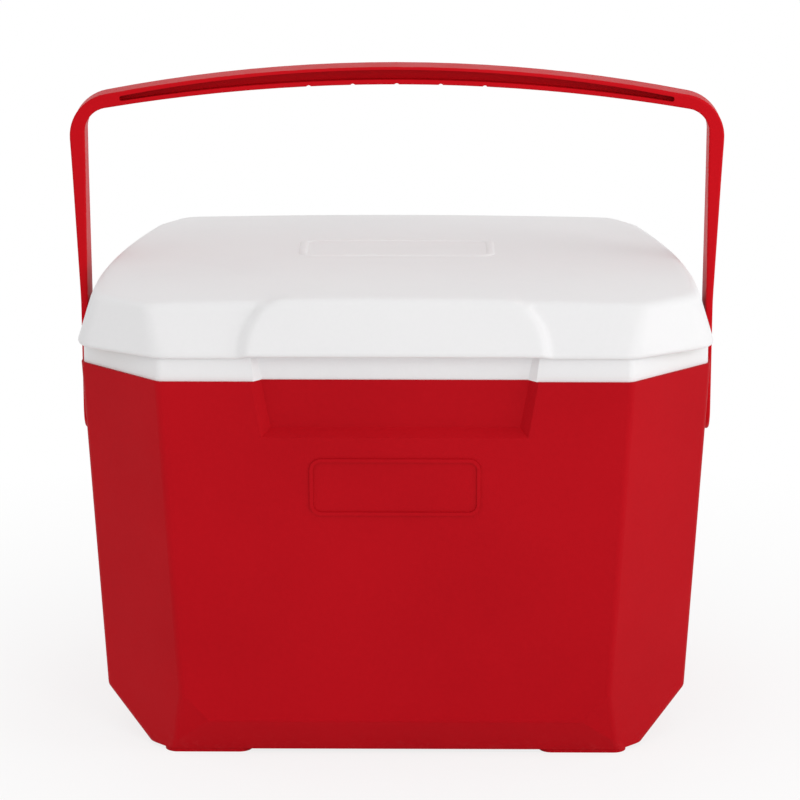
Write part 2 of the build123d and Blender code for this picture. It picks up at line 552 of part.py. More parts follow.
with BuildPart() as bail_handle:
    with BuildSketch(Plane.XZ) as bail_front:
        with BuildLine():
            ThreePointArc((-corner_x, corner_z), (0, BAR_TOP_Z), (corner_x, corner_z))
            ThreePointArc((-ARM_INNER_X, inner_z), (0, BAR_TOP_Z - BAR_HEIGHT), (ARM_INNER_X, inner_z))
            for side in (-1, 1):
                Polyline(
                    (side * corner_x, corner_z),
                    (side * ARM_OUTER_X, ARM_BEND_Z),
                    (side * ARM_OUTER_X, eye_low),
                    (side * ARM_INNER_X, eye_low),
                    (side * ARM_INNER_X, inner_z),
                )
        make_face()
        fillet(bail_front.vertices().filter_by_position(Axis.Y, corner_z - 1, corner_z + 1), BAIL_OUTER_RADIUS)
        fillet(bail_front.vertices().filter_by_position(Axis.Y, inner_z - 0.1, inner_z + 0.1), BAIL_INNER_RADIUS)
        fillet(bail_front.vertices().filter_by_position(Axis.Y, ARM_BEND_Z - 1, ARM_BEND_Z + 1), ARM_BEND_RADIUS)
    extrude(amount=ARM_FOOT_DEPTH, both=True)
    with BuildSketch(Plane.YZ) as bail_side:
        with BuildLine():
            Polyline(
                (ARM_FOOT_DEPTH / 2, PIVOT_Z),
                (ARM_FOOT_DEPTH / 2, ARM_BEND_Z),
                (BAIL_DEPTH / 2, ARM_FLARE_Z),
                (BAIL_DEPTH / 2, BAR_TOP_Z + 1),
                (-BAIL_DEPTH / 2, BAR_TOP_Z + 1),
                (-BAIL_DEPTH / 2, ARM_FLARE_Z),
                (-ARM_FOOT_DEPTH / 2, ARM_BEND_Z),
                (-ARM_FOOT_DEPTH / 2, PIVOT_Z),
            )
            ThreePointArc((-ARM_FOOT_DEPTH / 2, PIVOT_Z), (0, eye_low), (ARM_FOOT_DEPTH / 2, PIVOT_Z))
        make_face()
        fillet(bail_side.vertices().filter_by_position(Axis.Y, ARM_BEND_Z - 1, ARM_FLARE_Z + 1), ARM_BEND_RADIUS)
    extrude(amount=RIM_WIDTH, both=True, mode=Mode.INTERSECT)
    fillet(bail_handle.edges().filter_by(lambda e: is_rim(e) and is_inner(e)), BAIL_INNER_EDGE)
    fillet(bail_handle.edges().filter_by(lambda e: is_rim(e) and is_outer(e)), BAIL_OUTER_EDGE)
    for face_side in (-1, 1):
        with BuildSketch(Plane.XZ.offset(face_side * BAIL_DEPTH / 2)) as groove:
            with BuildLine():
                top = BAR_TOP_Z - GROOVE_EDGE
                end_low = groove_z - GROOVE_END_HEIGHT
                ThreePointArc((-groove_x, groove_z), (0, top), (groove_x, groove_z))
                Line((groove_x, groove_z), (groove_x, end_low))
                ThreePointArc((groove_x, end_low), (0, top - GROOVE_HEIGHT), (-groove_x, end_low))
                Line((-groove_x, end_low), (-groove_x, groove_z))
            make_face()
            fillet(groove.vertices(), GROOVE_CORNER)
        extrude(amount=-face_side * GROOVE_DEPTH, mode=Mode.SUBTRACT)
    for step in (-2, -1, 0, 1, 2):
        spot_x = step * NOTCH_PITCH
        spot_z = BAR_TOP_Z - BAR_HEIGHT - underside_drop * spot_x**2 + NOTCH_DEPTH - NOTCH_RADIUS
        with Locations((spot_x, 0, spot_z)):
            Cylinder(NOTCH_RADIUS, 2 * BAIL_DEPTH, rotation=(90, 0, 0), mode=Mode.SUBTRACT)
    for place in PIVOT_PLANES:
        with Locations(place.offset(ARM_INNER_X - BOSS_FACE_X)):
            Cylinder(STUD_RADIUS + RUNNING_GAP, 4 * EYE_WEB, mode=Mode.SUBTRACT)
        with Locations(place.offset(ARM_INNER_X + EYE_WEB - BOSS_FACE_X)):
            Cylinder(STUD_HEAD_RADIUS + HEAD_GAP, 2 * STUD_HEAD, align=ON_FACE, mode=Mode.SUBTRACT)

# Pivot studs, their washers and the screws that hold them
pivot_studs = []
pivot_washers = []
pivot_screws = []
for place in PIVOT_PLANES:
    head_place = place.offset(STUD_HEAD_X - BOSS_FACE_X)
    with BuildPart() as stud:
        with Locations(place):
            Cylinder(STUD_RADIUS, STUD_HEAD_X - BOSS_FACE_X, align=ON_FACE)
            Cylinder(STUD_SPIGOT_RADIUS, STUD_SPIGOT, align=BELOW_FACE)
        with Locations(head_place):
            Cylinder(STUD_HEAD_RADIUS, STUD_HEAD, align=ON_FACE)
        rim = stud.edges().filter_by(GeomType.CIRCLE).sort_by(lambda e: abs(e.center().X) + e.radius)[-1]
        fillet(rim, STUD_HEAD / 3)
        with Locations(head_place.offset(STUD_HEAD)):
            Cylinder(PIVOT_SCREW_HEAD_RADIUS + HEAD_GAP, PIVOT_SCREW_SINK, align=BELOW_FACE, mode=Mode.SUBTRACT)
        with Locations(place):
            Cylinder(PIVOT_SCREW_RADIUS + SCREW_GAP, 4 * BOSS_RADIUS, mode=Mode.SUBTRACT)
    pivot_studs.append(stud.part)
    with BuildPart() as washer:
        with Locations(place):
            Cylinder(WASHER_RADIUS, WASHER_THICKNESS, align=ON_FACE)
            Cylinder(STUD_RADIUS + SCREW_GAP, 4 * WASHER_THICKNESS, mode=Mode.SUBTRACT)
    pivot_washers.append(washer.part)
    seat = place.offset(PIVOT_SCREW_SEAT)
    pivot_screws.append(
        screw(seat, PIVOT_SCREW_HEAD_RADIUS, PIVOT_SCREW_HEAD, PIVOT_SCREW_RADIUS, PIVOT_SCREW_LENGTH)
    )

# Hinges: a base on the body, a leaf on the lid and a pin through both
hinge_bases = []
hinge_leaves = []
hinge_pins = []
axis_offset = Vector(0, HINGE_AXIS_Y, HINGE_AXIS_Z) - LID_BACK_EDGE
axis_rise = axis_offset.dot(LID_BACK_RISE)
axis_out = -axis_offset.dot(LID_BACK_NORMAL)
leaf_low = HINGE_AXIS_Z - LEAF_DROP
gusset_z = SHELL_TOP - GUSSET_DROP
for centre in (-HINGE_X, HINGE_X):
    left_end = Plane.YZ.offset(centre - HINGE_WIDTH / 2)
    with BuildPart() as hinge_base:
        with BuildSketch(left_end):
            Polygon(
                (half_depth(leaf_low), leaf_low),
                (half_depth(SHELL_TOP), SHELL_TOP),
                (HINGE_AXIS_Y - 0.85 * KNUCKLE_RADIUS, HINGE_AXIS_Z - 0.5 * KNUCKLE_RADIUS),
                (HINGE_AXIS_Y + 0.9 * KNUCKLE_RADIUS, HINGE_AXIS_Z - 0.4 * KNUCKLE_RADIUS),
                (half_depth(gusset_z) + LEAF_THICKNESS, gusset_z),
                (half_depth(leaf_low) + LEAF_THICKNESS, leaf_low),
                align=None,
            )
            with Locations((HINGE_AXIS_Y, HINGE_AXIS_Z)):
                Circle(KNUCKLE_RADIUS)
        extrude(amount=HINGE_WIDTH)
        corners = hinge_base.edges().filter_by(
            lambda e: e.center().Z < leaf_low + 0.5 and e.length < LEAF_THICKNESS + 0.5
        )
        fillet(corners, LEAF_CORNER)
        with Locations((centre, HINGE_AXIS_Y, HINGE_AXIS_Z)):
            Box(
                MIDDLE_KNUCKLE + 2 * KNUCKLE_GAP, 5 * KNUCKLE_RADIUS, 2 * KNUCKLE_RADIUS + LEAF_START,
                mode=Mode.SUBTRACT,
            )
            Cylinder(PIN_RADIUS + SCREW_GAP, 2 * HINGE_WIDTH, rotation=(0, 90, 0), mode=Mode.SUBTRACT)
        for place in BASE_SCREW_PLANES:
            with Locations(place):
                Cylinder(HINGE_SCREW_RADIUS + SCREW_CLEARANCE, 20, mode=Mode.SUBTRACT)
    hinge_bases.append(hinge_base.part)

    slope_plane = Plane(LID_BACK_EDGE + Vector(centre, 0, 0), x_dir=LID_BACK_RISE, z_dir=(1, 0, 0))
    with BuildPart() as hinge_leaf:
        with BuildSketch(slope_plane):
            Polygon(
                (LEAF_START, 0),
                (LEAF_RISE, 0),
                (LEAF_RISE, -LEAF_THICKNESS),
                (LEAF_START, -LEAF_THICKNESS),
                align=None,
            )
        extrude(amount=HINGE_WIDTH / 2, both=True)
        corners = hinge_leaf.edges().filter_by(
            lambda e: e.center().Z > LID_BOTTOM + 0.8 * LEAF_RISE and abs(e.length - LEAF_THICKNESS) < 0.1
        )
        fillet(corners, LEAF_CORNER)
        with BuildSketch(slope_plane):
            Polygon(
                (LEAF_START + 1, 0),
                (LEAF_START + 4, -LEAF_THICKNESS),
                (axis_rise + 1, axis_out - 0.95 * KNUCKLE_RADIUS),
                (axis_rise, axis_out),
                (axis_rise + 0.75 * KNUCKLE_RADIUS, axis_out + 0.55 * KNUCKLE_RADIUS),
                align=None,
            )
            with Locations((axis_rise, axis_out)):
                Circle(KNUCKLE_RADIUS)
        extrude(amount=MIDDLE_KNUCKLE / 2, both=True)
        with Locations((centre, HINGE_AXIS_Y, HINGE_AXIS_Z)):
            Cylinder(PIN_RADIUS + RUNNING_GAP, 2 * HINGE_WIDTH, rotation=(0, 90, 0), mode=Mode.SUBTRACT)
        for place in LEAF_SCREW_PLANES:
            with Locations(place):
                Cylinder(HINGE_SCREW_RADIUS + SCREW_CLEARANCE, 20, mode=Mode.SUBTRACT)
    hinge_leaves.append(hinge_leaf.part)

    with BuildPart(left_end) as hinge_pin:
        with Locations((HINGE_AXIS_Y, HINGE_AXIS_Z)):
            Cylinder(PIN_RADIUS, HINGE_WIDTH + PIN_TAIL, align=ON_FACE)
            Cylinder(PIN_HEAD_RADIUS, PIN_HEAD, align=BELOW_FACE)
    hinge_pins.append(hinge_pin.part)

with BuildPart() as hinge_base_screws:
    for place in BASE_SCREW_PLANES:
        seat = place.offset(LEAF_THICKNESS)
        add(screw(seat, HINGE_SCREW_HEAD_RADIUS, HINGE_SCREW_HEAD, HINGE_SCREW_RADIUS, HINGE_SCREW_LENGTH))

with BuildPart() as hinge_leaf_screws:
    for place in LEAF_SCREW_PLANES:
        seat = place.offset(LEAF_THICKNESS)
        add(screw(seat, HINGE_SCREW_HEAD_RADIUS, HINGE_SCREW_HEAD, HINGE_SCREW_RADIUS, HINGE_SCREW_LENGTH))


pieces = {
    "outer_shell": outer_shell.part,
    "inner_liner": inner_liner.part,
    "body_foam": body_foam.part,
    "lid_shell": lid_shell.part,
    "lid_liner": lid_liner.part,
    "lid_foam": lid_foam.part,
    "bail_handle": bail_handle.part,
    "hinge_base_screws": hinge_base_screws.part,
    "hinge_leaf_screws": hinge_leaf_screws.part,
}
for name, pair in (
    ("pivot_stud", pivot_studs),
    ("pivot_washer", pivot_washers),
    ("pivot_screw", pivot_screws),
    ("hinge_base", hinge_bases),
    ("hinge_leaf", hinge_leaves),
    ("hinge_pin", hinge_pins),
):
    pieces[name + "_left"] = pair[0]
    pieces[name + "_right"] = pair[1]
for name, piece in pieces.items():
    piece.label = name
    export_step(piece, f"parts/{name}.step")
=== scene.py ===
import math

import bpy
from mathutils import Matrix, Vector


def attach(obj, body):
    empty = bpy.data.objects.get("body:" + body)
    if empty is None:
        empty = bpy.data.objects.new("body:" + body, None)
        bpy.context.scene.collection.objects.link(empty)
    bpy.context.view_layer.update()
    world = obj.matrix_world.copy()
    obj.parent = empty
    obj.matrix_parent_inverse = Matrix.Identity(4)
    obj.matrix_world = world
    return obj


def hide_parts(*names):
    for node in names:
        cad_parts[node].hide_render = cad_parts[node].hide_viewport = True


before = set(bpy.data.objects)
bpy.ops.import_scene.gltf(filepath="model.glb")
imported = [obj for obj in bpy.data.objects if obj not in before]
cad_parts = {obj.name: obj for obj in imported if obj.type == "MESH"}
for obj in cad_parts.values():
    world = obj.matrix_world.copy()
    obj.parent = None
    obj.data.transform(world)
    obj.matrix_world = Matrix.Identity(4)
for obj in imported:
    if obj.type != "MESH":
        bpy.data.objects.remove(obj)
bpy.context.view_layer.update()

# Colours, linear
SHELL_RED = (0.47, 0.0030, 0.0085, 1.0)
SHELL_RED_DEEP = (0.39, 0.0020, 0.0065, 1.0)
SHELL_RED_SCUFF = (0.52, 0.035, 0.040, 1.0)
BAIL_RED = (0.56, 0.0030, 0.0085, 1.0)
BAIL_RED_DEEP = (0.50, 0.0024, 0.0075, 1.0)
LID_WHITE = (0.815, 0.810, 0.815, 1.0)
LID_WHITE_SHADE = (0.775, 0.770, 0.780, 1.0)
LINER_WHITE = (0.835, 0.835, 0.840, 1.0)
LINER_WHITE_SHADE = (0.790, 0.790, 0.800, 1.0)
FOAM_CREAM = (0.80, 0.70, 0.48, 1.0)
FOAM_TAN = (0.68, 0.56, 0.34, 1.0)
STEEL_BRIGHT = (0.56, 0.57, 0.58, 1.0)
STEEL_DULL = (0.42, 0.42, 0.43, 1.0)
PAPER_WHITE = (0.86, 0.86, 0.86, 1.0)
BACKDROP_WHITE = (1.0, 1.0, 1.0, 1.0)

# Sheen: roughness and specular level of the finishes
SHELL_ROUGHNESS = 0.50
SHELL_SPECULAR = 0.06
BAIL_ROUGHNESS = 0.42
BAIL_SPECULAR = 0.055
LID_ROUGHNESS = 0.50
LINER_ROUGHNESS = 0.40
WHITE_SPECULAR = 0.20
FOAM_ROUGHNESS = 0.95
STEEL_ROUGHNESS = 0.22
STEEL_ROUGHNESS_SPREAD = 0.2
PAPER_ROUGHNESS = 0.9
PAPER_SPECULAR = 0.1

# Grain of the moulded faces: cells to the metre and height in millimetres
SHELL_CELLS = 820.0
SHELL_GRAIN = 0.042
BAIL_CELLS = 1300.0
BAIL_GRAIN = 0.008
LID_CELLS = 900.0
LID_GRAIN = 0.016
LINER_CELLS = 1500.0
LINER_GRAIN = 0.006
FOAM_CELLS = 900.0
FOAM_CELL_SMOOTHNESS = 0.1
FOAM_GRAIN = 0.3
STEEL_MARKS = 1500.0
STEEL_MARK_HEIGHT = 0.016
MILLIMETRE = 0.001

# Moulded plastic: slow drift of tone, flecks, pebbles with a finer grain, and rubbed patches
NOISE_MIDDLE = 0.5
DRIFT_SCALE = 9.0
DRIFT_START = 0.38
DRIFT_SHARE = 1.3
FLECKS_PER_CELL = 0.5
FLECK_SHARE = 0.5
PEBBLE_SMOOTHNESS = 0.7
PEBBLE_SHARE = 0.8
FINE_PER_CELL = 1.8
FINE_SHARE = 0.4
FINE_SPREAD = 0.10
RUB_SCALE = 38.0
RUB_CONTRAST = 0.65
RUB_SPREAD = 0.18

# Tone of the foam and the steel
FOAM_TONE_SCALE = 30.0
STEEL_TONE_SCALE = 180.0

# Scuffs of the shell's foot: the heights between which they fade, in metres, their strength and their scratches
SCUFF_FULL = 0.0035
SCUFF_NONE = 0.016
SCUFF_SHARE = 0.2
SCRATCH_SCALE = 240.0
SCRATCH_CONTRAST = 0.7
SCRATCH_START = 0.52
SCRATCH_FULL = 0.66

# Mould line round the bail: half its width in metres and its height in millimetres
MOULD_LINE = 0.00025
MOULD_LINE_HEIGHT = 0.05

# Light: the sky, and the soft boxes as place, size and power
SKY_LIGHT = 0.79
LIGHT_AIM = (0.0, 0.0, 0.2)
SOFT_BOXES = {
    "key_light": ((1.3, -2.4, 1.3), 1.3, 13.0),
    "right_light": ((2.4, -0.7, 0.9), 1.2, 12.4),
    "left_light": ((-2.3, -1.2, 0.9), 1.6, 1.6),
    "top_light": ((0.2, -0.5, 2.6), 2.4, 3.4),
}

# Floor: its reach, how much of the shadow it shows, and the distances between which that fades
FLOOR_REACH = 6.0
SHADOW_SHARE = 0.20
SHADOW_NEAR = 0.22
SHADOW_FAR = 0.60

# Camera, from the fit to the photograph
CAMERA_PLACE = (0.01908, -2.09588, 0.73465)
CAMERA_PITCH = 14.4
CAMERA_YAW = 0.469
CAMERA_LENS = 152.7
CAMERA_SENSOR = 36.0

# Form of the lid, in metres. Its outlines give the right half, from the front to the back
LID_FOOT_CORNERS = ((0.143, -0.1366), (0.193, -0.104), (0.193, 0.087), (0.143, 0.137))
LID_TOP_CORNERS = ((0.1516, -0.1181), (0.1812, -0.098), (0.150, 0.104), (0.1455, 0.1181))
LID_FOOT_ROUNDING = 0.022
LID_TOP_ROUNDING = 0.012
LID_SIDE_BULGE = 0.009
LID_LOW_Z = 0.2560
LID_FOOT_Z = 0.258
LID_TOP_Z = 0.2956
LID_CROWN = 0.2936
LID_ARCH = 5.5
LID_FOLD = 0.075
LID_FOLD_BLEND = 0.0173
LID_FALL = 0.099
LID_RIM = 0.0042

# Lip, walls and front face of the lid
LID_LIP = 0.0034
LID_LIP_END = math.radians(20.0)
LID_SEAT_Z = 0.2573
LID_WALL = 0.0032
LID_SKIRT = 0.0044
LID_CORE_GAP = 0.0003
LID_INSIDE_Z = 0.2600
LID_SLOPE = math.radians(26.7)
LID_FRONT_NORMAL_LEAN = math.cos(LID_SLOPE)
LID_FRONT_NORMAL = Vector((0.0, -LID_FRONT_NORMAL_LEAN, math.sin(LID_SLOPE)))
LID_FRONT_LENGTH = 0.0347

# Finger pad: its sides bend in up the front, and its rise fades out behind the crease
PAD_HALF_WIDTH = 0.0935
PAD_ARC_START = 0.0007
PAD_ARC_HEIGHT = 0.0416
PAD_ARC_WIDTH = 0.0396
PAD_FLANK = 0.0070
PAD_SPREAD = 2.0
PAD_RISE = 0.0040
PAD_RUN = 0.036
PAD_BACK = LID_FOLD / 2

# Bare panel on the lid, and the bead round it
LID_PANEL_WIDTH = 0.118
LID_PANEL_DEPTH = 0.046
LID_PANEL_Y = 0.010
PANEL_ROUNDING = 0.007
BEAD_SIZES = {
    "Panel Width": LID_PANEL_WIDTH,
    "Panel Depth": LID_PANEL_DEPTH,
    "Panel Place": LID_PANEL_Y,
    "Panel Rounding": PANEL_ROUNDING,
    "Crown": LID_CROWN,
    "Arch Fall": 1.0 / (2.0 * LID_ARCH),
    "Bead Half Width": 0.0030,
    "Bead Height": 0.0014,
    "Bead Sink": 0.0006,
}

# Sides of the lid's outlines, counted from the right front corner on
RIGHT_SIDE = 1
LEFT_SIDE = 5

# Fineness of the lid's meshes, and the angle in degrees past which an edge is sharp
ARC_STEPS = 6
PLAIN_STEPS = 14
FRONT_STEPS = 150
WALL_STEPS = 14
RIM_STEPS = 5
LIP_STEPS = 4
BEAD_STEPS = 16
BEAD_CORNER_STEPS = 8
BEAD_PATH_STEPS = 240
RIM_HALVINGS = 20
SHARP_ANGLE = 40.0
ROOF_SHARES = (0.97, 0.92, 0.86, 0.8, 0.74, 0.68, 0.62, 0.57, 0.53, 0.49, 0.45, 0.41, 0.37, 0.33, 0.29, 0.25,
               0.21, 0.17, 0.13, 0.10, 0.07, 0.035)


class Value:
    """A socket of a node tree that Python expressions can work on."""

    def __init__(self, tree, socket):
        self.tree = tree
        self.socket = socket

    def maths(self, operation, *entries):
        node = self.tree.nodes.new("ShaderNodeMath")
        node.operation = operation
        for slot, entry in zip(node.inputs, entries):
            if isinstance(entry, Value):
                self.tree.links.new(entry.socket, slot)
            else:
                slot.default_value = entry
        return Value(self.tree, node.outputs[0])

    def __add__(self, other):
        return self.maths("ADD", self, other)

    __radd__ = __add__

    def __sub__(self, other):
        return self.maths("SUBTRACT", self, other)

    def __rsub__(self, other):
        return self.maths("SUBTRACT", other, self)

    def __mul__(self, other):
        return self.maths("MULTIPLY", self, other)

    __rmul__ = __mul__

    def __abs__(self):
        return self.maths("ABSOLUTE", self)

    def __lt__(self, other):
        return self.maths("LESS_THAN", self, other)


class Tree:
    """A node tree whose nodes are added by one method."""

    def __init__(self, tree):
        self.tree = tree

    def node(self, kind, settings=None, inputs=None, output=0):
        node = self.tree.nodes.new(kind)
        for key, entry in (settings or {}).items():
            setattr(node, key, entry)
        for key, entry in (inputs or {}).items():
            self.fill(node.inputs[key], entry)
        return Value(self.tree, node.outputs[output])

    def fill(self, socket, entry):
        if isinstance(entry, Value):
            self.tree.links.new(entry.socket, socket)
        else:
            socket.default_value = entry

    def seen_rays(self):
        """One for the rays that show a surface to the camera, in a mirror or through glass."""
        path = self.tree.nodes.new("ShaderNodeLightPath")
        rays = ("Is Camera Ray", "Is Glossy Ray", "Is Transmission Ray")
        camera, glossy, through = (Value(self.tree, path.outputs[name]) for name in rays)
        return camera + glossy + through


class Finish(Tree):
    """A material with one main shader."""

    def __init__(self, name):
        self.material = bpy.data.materials.new(name)
        self.material.use_nodes = True
        super().__init__(self.material.node_tree)
        self.shader = next(n for n in self.tree.nodes if n.type == "BSDF_PRINCIPLED")
        self.place = self.node("ShaderNodeTexCoord", output="Object")

    def set(self, **inputs):
        for name, entry in inputs.items():
            self.fill(self.shader.inputs[name.replace("_", " ")], entry)

    def noise(self, scale, detail=2.0, roughness=0.5):
        return self.node(
            "ShaderNodeTexNoise",
            inputs={"Vector": self.place, "Scale": scale, "Detail": detail, "Roughness": roughness},
        )

    def cells(self, scale, smoothness):
        return self.node(
            "ShaderNodeTexVoronoi",
            {"feature": "SMOOTH_F1"},
            {"Vector": self.place, "Scale": scale, "Smoothness": smoothness},
        )

    def along(self, axis):
        return self.node("ShaderNodeSeparateXYZ", inputs={"Vector": self.place}, output=axis)

    def ramp(self, entry, start, end, low=0.0, high=1.0):
        return self.node(
            "ShaderNodeMapRange",
            {"clamp": True},
            {"Value": entry, "From Min": start, "From Max": end, "To Min": low, "To Max": high},
        )

    def mix(self, factor, first, second):
        node = self.tree.nodes.new("ShaderNodeMix")
        node.data_type = "RGBA"
        node.clamp_factor = True
        self.fill(node.inputs["Factor"], factor)
        colours = [s for s in node.inputs if s.type == "RGBA"]
        self.fill(colours[0], first)
        self.fill(colours[1], second)
        return Value(self.tree, next(s for s in node.outputs if s.type == "RGBA"))

    def relief(self, height):
        """Bump from a height in millimetres."""
        bump = self.node("ShaderNodeBump", inputs={"Height": height, "Strength": 1.0, "Distance": MILLIMETRE})
        self.set(Normal=bump)


def pebbled(finish, colour, deep, cells, grain, roughness):
    """Moulded plastic: pebbled grain, slow drift of tone and uneven sheen. Returns its colour and height."""
    drift = finish.noise(DRIFT_SCALE, detail=3.0)
    fleck = finish.noise(cells * FLECKS_PER_CELL)
    share = (drift - DRIFT_START) * DRIFT_SHARE + (fleck - NOISE_MIDDLE) * FLECK_SHARE
    tone = finish.mix(share, colour, deep)
    pebble = finish.cells(cells, PEBBLE_SMOOTHNESS)
    fine = finish.noise(cells * FINE_PER_CELL)
    height = (pebble * PEBBLE_SHARE + fine * FINE_SHARE) * grain
    rub = finish.noise(RUB_SCALE, detail=4.0, roughness=RUB_CONTRAST)
    smoothest = roughness - RUB_SPREAD / 2
    finish.set(Roughness=rub * RUB_SPREAD + smoothest + (fine - NOISE_MIDDLE) * FINE_SPREAD)
    return tone, height


def shell_plastic():
    """Red plastic of the body, scuffed along the feet."""
    finish = Finish("shell_red")
    tone, height = pebbled(finish, SHELL_RED, SHELL_RED_DEEP, SHELL_CELLS, SHELL_GRAIN, SHELL_ROUGHNESS)
    low = finish.ramp(finish.along("Z"), SCUFF_FULL, SCUFF_NONE, 1.0, 0.0)
    scratch = finish.noise(SCRATCH_SCALE, detail=5.0, roughness=SCRATCH_CONTRAST)
    scratches = finish.ramp(scratch, SCRATCH_START, SCRATCH_FULL)
    finish.set(Base_Color=finish.mix(low * scratches * SCUFF_SHARE, tone, SHELL_RED_SCUFF))
    finish.set(Specular_IOR_Level=SHELL_SPECULAR)
    finish.relief(height)
    return finish.material


def bail_plastic():
    """Smoother red plastic of the bail and its studs, with a fine mould line along the middle."""
    finish = Finish("bail_red")
    tone, height = pebbled(finish, BAIL_RED, BAIL_RED_DEEP, BAIL_CELLS, BAIL_GRAIN, BAIL_ROUGHNESS)
    line = abs(finish.along("Y")) < MOULD_LINE
    finish.set(Base_Color=tone)
    finish.set(Specular_IOR_Level=BAIL_SPECULAR)
    finish.relief(height + line * MOULD_LINE_HEIGHT)
    return finish.material


def white_plastic(name, colour, shade, cells, grain, roughness):
    """White plastic of the lid, the liner and the hinges."""
    finish = Finish(name)
    tone, height = pebbled(finish, colour, shade, cells, grain, roughness)
    finish.set(Base_Color=tone)
    finish.set(Specular_IOR_Level=WHITE_SPECULAR)
    finish.relief(height)
    return finish.material


def cast_foam():
    """Rigid foam with open cells."""
    finish = Finish("foam")
    finish.set(Base_Color=finish.mix(finish.noise(FOAM_TONE_SCALE, detail=4.0), FOAM_CREAM, FOAM_TAN))
    finish.set(Roughness=FOAM_ROUGHNESS)
    finish.relief(finish.cells(FOAM_CELLS, FOAM_CELL_SMOOTHNESS) * FOAM_GRAIN)
    return finish.material


def plated_steel():
    """Plated steel with fine turning marks."""
    finish = Finish("steel")
    marks = finish.noise(STEEL_MARKS)
    finish.set(Base_Color=finish.mix(finish.noise(STEEL_TONE_SCALE, detail=3.0), STEEL_BRIGHT, STEEL_DULL))
    finish.set(Metallic=1.0)
    finish.set(Roughness=marks * STEEL_ROUGHNESS_SPREAD + STEEL_ROUGHNESS)
    finish.relief(marks * STEEL_MARK_HEIGHT)
    return finish.material


shell_red = shell_plastic()
bail_red = bail_plastic()
lid_white = white_plastic("lid_white", LID_WHITE, LID_WHITE_SHADE, LID_CELLS, LID_GRAIN, LID_ROUGHNESS)
liner_white = white_plastic(
    "liner_white", LINER_WHITE, LINER_WHITE_SHADE, LINER_CELLS, LINER_GRAIN, LINER_ROUGHNESS
)
foam = cast_foam()
steel = plated_steel()

FINISHES = {
    "outer_shell": shell_red,
    "inner_liner": liner_white,
    "body_foam": foam,
    "hinge_base_left": liner_white,
    "hinge_base_right": liner_white,
    "hinge_pin_left": steel,
    "hinge_pin_right": steel,
    "hinge_base_screws": steel,
    "pivot_stud_left": bail_red,
    "pivot_stud_right": bail_red,
    "pivot_washer_left": liner_white,
    "pivot_washer_right": liner_white,
    "pivot_screw_left": steel,
    "pivot_screw_right": steel,
    "lid_shell": lid_white,
    "lid_liner": liner_white,
    "lid_foam": foam,
    "hinge_leaf_left": liner_white,
    "hinge_leaf_right": liner_white,
    "hinge_leaf_screws": steel,
    "bail_handle": bail_red,
}

for name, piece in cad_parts.items():
    piece.data.materials.clear()
    piece.data.materials.append(FINISHES[name])


def rounded_outline(corners, rounding, side_steps):
    """Points round a closed outline, each corner an arc and each side divided into its own number of steps."""
    points = []
    count = len(corners)
    for index, corner in enumerate(corners):
        corner = Vector(corner)
        back = (Vector(corners[index - 1]) - corner).normalized()
        ahead = (Vector(corners[(index + 1) % count]) - corner).normalized()
        half_turn = (math.pi - back.angle(ahead)) / 2
        reach = rounding * math.tan(half_turn)
        middle = corner + (back + ahead).normalized() * rounding / math.cos(half_turn)
        start = corner + back * reach - middle
        swing = 2 * half_turn
        for step in range(ARC_STEPS + 1):
            turn = swing * step / ARC_STEPS
            cosine, sine = math.cos(turn), math.sin(turn)
            points.append(middle + Vector((start.x * cosine - start.y * sine, start.x * sine + start.y * cosine)))
        leave = points[-1]
        following = Vector(corners[(index + 1) % count])
        beyond = Vector(corners[(index + 2) % count])
        next_back = (corner - following).normalized()
        next_ahead = (beyond - following).normalized()
        next_reach = rounding * math.tan((math.pi - next_back.angle(next_ahead)) / 2)
        arrive = following + next_back * next_reach
        steps = side_steps[index]
        points += [leave.lerp(arrive, step / steps) for step in range(1, steps)]
    return points


def swell(points, first, last, bulge):
    """Push the points between two places outwards in X, most in the middle."""
    for index in range(first, last):
        share = (index - first + 0.5) / (last - first)
        points[index].x += math.copysign(bulge * (1 - (2 * share - 1) ** 2), points[index].x)


def lid_outlines():
    """Outlines of the lid at its foot and at its top, with matching points."""
    foot = []
    top = []
    for side in (1, -1):
        pairs = list(zip(LID_FOOT_CORNERS, LID_TOP_CORNERS))
        for low, high in pairs if side > 0 else reversed(pairs):
            foot.append((side * low[0], low[1]))
            top.append((side * high[0], high[1]))
    steps = [PLAIN_STEPS] * (len(foot) - 1) + [FRONT_STEPS]
    foot_points = rounded_outline(foot, LID_FOOT_ROUNDING, steps)
    top_points = rounded_outline(top, LID_TOP_ROUNDING, steps)
    run = ARC_STEPS + PLAIN_STEPS
    for side in (RIGHT_SIDE, LEFT_SIDE):
        swell(top_points, side * run + ARC_STEPS, (side + 1) * run + 1, LID_SIDE_BULGE)
    return foot_points, top_points


def lid_top_height(x, y):
    """Height of the top of the lid: a little arched across, and falling away towards the front."""
    past = -y - LID_FOLD
    if past > LID_FOLD_BLEND:
        fall = LID_FALL * past
    elif past > -LID_FOLD_BLEND:
        fall = LID_FALL * (past + LID_FOLD_BLEND) ** 2 / (4 * LID_FOLD_BLEND)
    else:
        fall = 0.0
    return LID_CROWN - x * x / (2 * LID_ARCH) - fall


